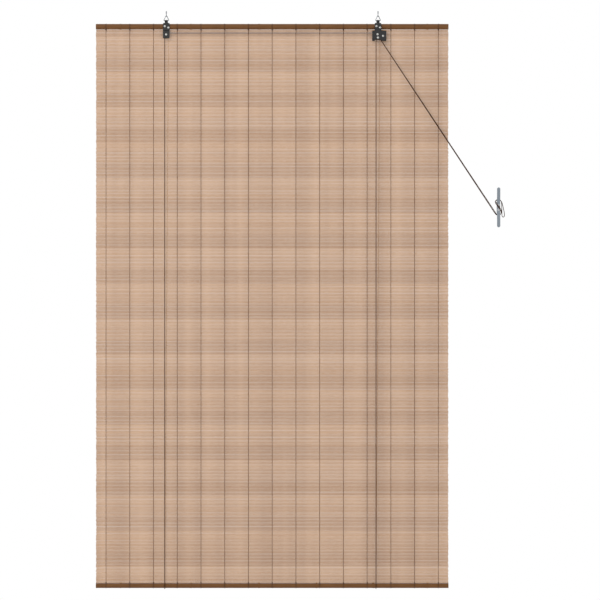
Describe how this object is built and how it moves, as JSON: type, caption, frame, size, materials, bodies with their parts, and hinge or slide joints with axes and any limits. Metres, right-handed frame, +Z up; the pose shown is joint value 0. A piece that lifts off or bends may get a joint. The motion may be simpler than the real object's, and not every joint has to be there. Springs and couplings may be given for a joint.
{
  "type": "bamboo roll up blind",
  "caption": "Bamboo roll up window blind with half round rails, woven split slats, riveted brackets on screw hooks, a cord lock and a wall cleat.",
  "frame": {"origin": "midway between the two screw hooks, in the ceiling plane that their threads enter", "axes": "+X to the right of a person facing the blind, +Y from the front to the wall, +Z up"},
  "size_m": [1.1595, 0.0496, 1.6386],
  "materials": {
    "zinc_wire": "bright zinc plated wire",
    "black_steel": "black coated pressed steel, satin",
    "rivet_steel": "plain domed steel rivets",
    "sheave_nylon": "moulded nylon, dark",
    "roller_steel": "turned and sintered steel",
    "dark_bamboo": "half round bamboo, dark stained, satin",
    "split_bamboo": "split bamboo, stained light brown, matt",
    "thread": "twisted brown thread",
    "cord": "braided brown cord",
    "grey_zinc": "grey coated cast zinc",
    "screw_steel": "zinc plated cross head screws"
  },
  "bodies": {
    "root": {"left_screw_hook": "zinc_wire", "left_hang_ring": "zinc_wire", "left_bracket_back": "black_steel", "left_bracket_front": "black_steel", "left_rail_rivets": "rivet_steel", "right_screw_hook": "zinc_wire", "right_hang_ring": "zinc_wire", "right_bracket_back": "black_steel", "right_bracket_front": "black_steel", "right_rail_rivets": "rivet_steel", "lock_housing": "black_steel", "left_sheave_axle": "rivet_steel", "right_sheave_axle": "rivet_steel", "guide_roller_pin": "rivet_steel", "lock_cam_pin": "rivet_steel", "top_rail": "dark_bamboo", "slats": "split_bamboo", "warp_thread_01": "thread", "warp_thread_02": "thread", "warp_thread_03": "thread", "warp_thread_04": "thread", "warp_thread_05": "thread", "warp_thread_06": "thread", "warp_thread_07": "thread", "warp_thread_08": "thread", "warp_thread_09": "thread", "warp_thread_10": "thread", "warp_thread_11": "thread", "warp_thread_12": "thread", "warp_thread_13": "thread", "warp_thread_14": "thread", "warp_thread_15": "thread", "top_lashings": "thread", "left_cord_knot": "cord", "left_rear_cord": "cord", "left_front_cord": "cord", "left_run_cord": "cord", "right_cord_knot": "cord", "right_rear_cord": "cord", "right_front_cord": "cord", "right_run_cord": "cord", "cleat": "grey_zinc", "cleat_screw_upper": "screw_steel", "cleat_screw_lower": "screw_steel"},
    "bottom_bar": {"bottom_rail": "dark_bamboo", "bottom_lashings": "thread", "left_cord_sling": "cord", "right_cord_sling": "cord"},
    "left_sheave": {"left_sheave": "sheave_nylon"},
    "right_rear_sheave": {"right_rear_sheave": "sheave_nylon"},
    "right_front_sheave": {"right_front_sheave": "sheave_nylon"},
    "guide_roller": {"guide_roller": "roller_steel"},
    "lock_cam": {"lock_cam": "roller_steel"}
  },
  "joints": [
    {"name": "blind_lift", "type": "slide", "parent": "root", "child": "bottom_bar", "axis": [0, 0, 1], "range_m": [0, 1.5], "deforming": ["slats", "warp_thread_01", "warp_thread_02", "warp_thread_03", "warp_thread_04", "warp_thread_05", "warp_thread_06", "warp_thread_07", "warp_thread_08", "warp_thread_09", "warp_thread_10", "warp_thread_11", "warp_thread_12", "warp_thread_13", "warp_thread_14", "warp_thread_15", "left_front_cord", "right_front_cord", "left_rear_cord", "right_rear_cord"]},
    {"name": "left_sheave_spin", "type": "hinge", "parent": "root", "child": "left_sheave", "pos_m": [-0.3003, 0, -0.0592], "axis": [0, 1, 0], "continuous": true},
    {"name": "right_rear_sheave_spin", "type": "hinge", "parent": "root", "child": "right_rear_sheave", "pos_m": [0.2986, 0, -0.0592], "axis": [0, 1, 0], "continuous": true},
    {"name": "right_front_sheave_spin", "type": "hinge", "parent": "root", "child": "right_front_sheave", "pos_m": [0.2986, 0, -0.0592], "axis": [0, 1, 0], "continuous": true},
    {"name": "guide_roller_spin", "type": "hinge", "parent": "root", "child": "guide_roller", "pos_m": [0.2997, 0, -0.0685], "axis": [0, 1, 0], "continuous": true},
    {"name": "lock_cam_pivot", "type": "hinge", "parent": "root", "child": "lock_cam", "pos_m": [0.3139, 0, -0.0636], "axis": [0, 1, 0], "range_deg": [0, 30]}
  ]
}
